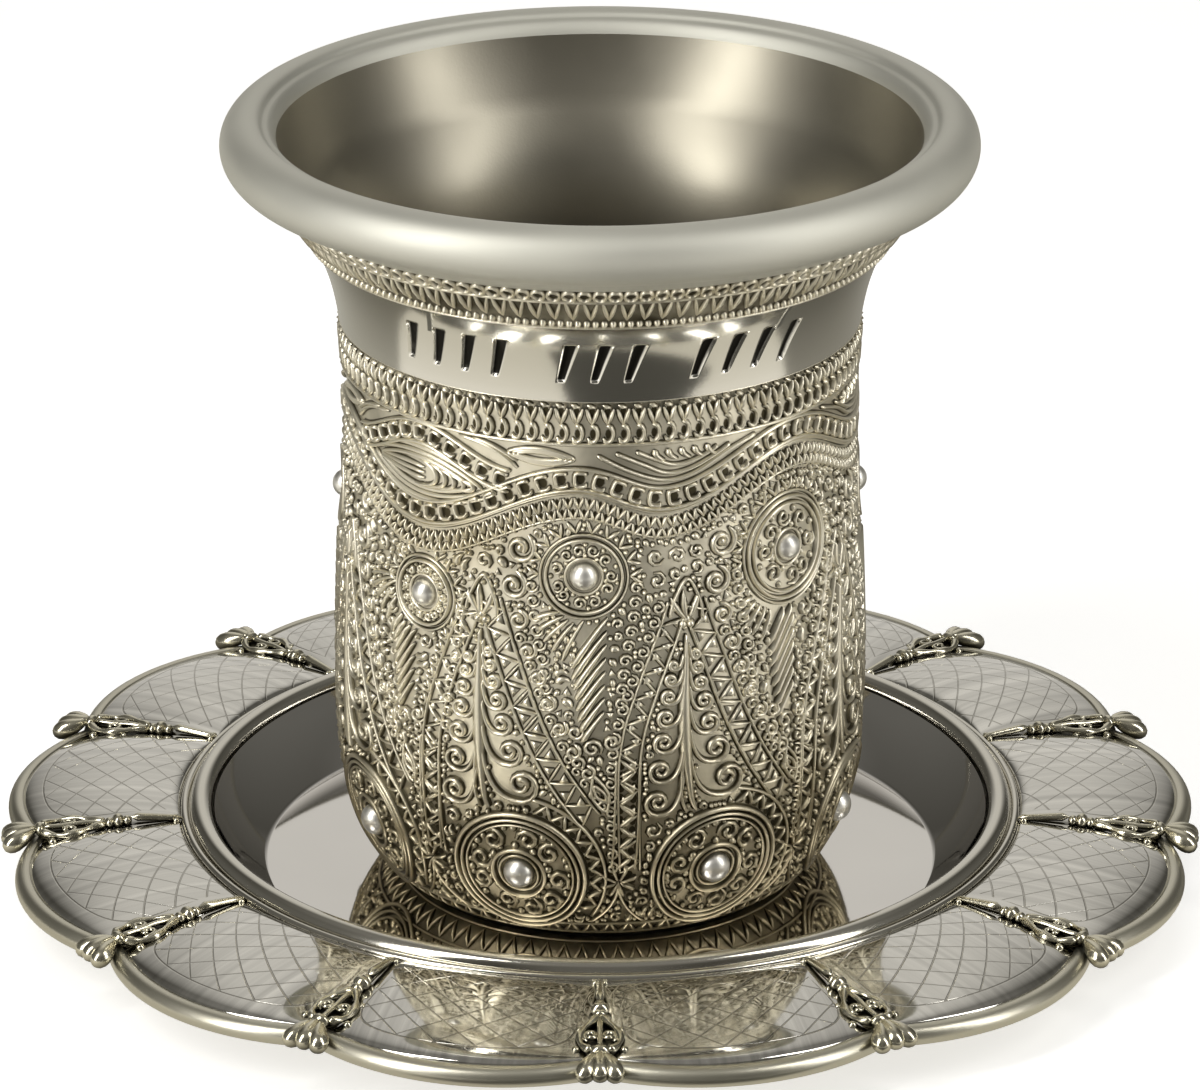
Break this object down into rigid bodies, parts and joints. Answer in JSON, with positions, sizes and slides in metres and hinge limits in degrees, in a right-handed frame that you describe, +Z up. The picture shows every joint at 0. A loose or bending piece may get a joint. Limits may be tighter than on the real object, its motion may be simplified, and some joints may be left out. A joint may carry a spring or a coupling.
{
  "type": "kiddush cup with saucer",
  "caption": "Flared metal wine goblet without a stem, covered in wire filigree, standing in a scalloped saucer with engraved petals.",
  "frame": {"origin": "on the axis of cup and saucer, at the flat underside of the saucer", "axes": "+Z up through the mouth of the cup, -Y towards the front, where the cup's inscription was, +X to the right"},
  "size_m": [0.1224, 0.1225, 0.0812],
  "materials": {
    "cup_silver": "silver-coloured plate, satin lip and inside, bright band, filigree with dark olive patina in its hollows",
    "saucer_silver": "silver-coloured plate, mirror-polished well and edge, satin petals with engraved lines, dark hollows at the cast ribs"
  },
  "bodies": {
    "root": {"cup": "cup_silver", "saucer": "saucer_silver"}
  },
  "joints": []
}
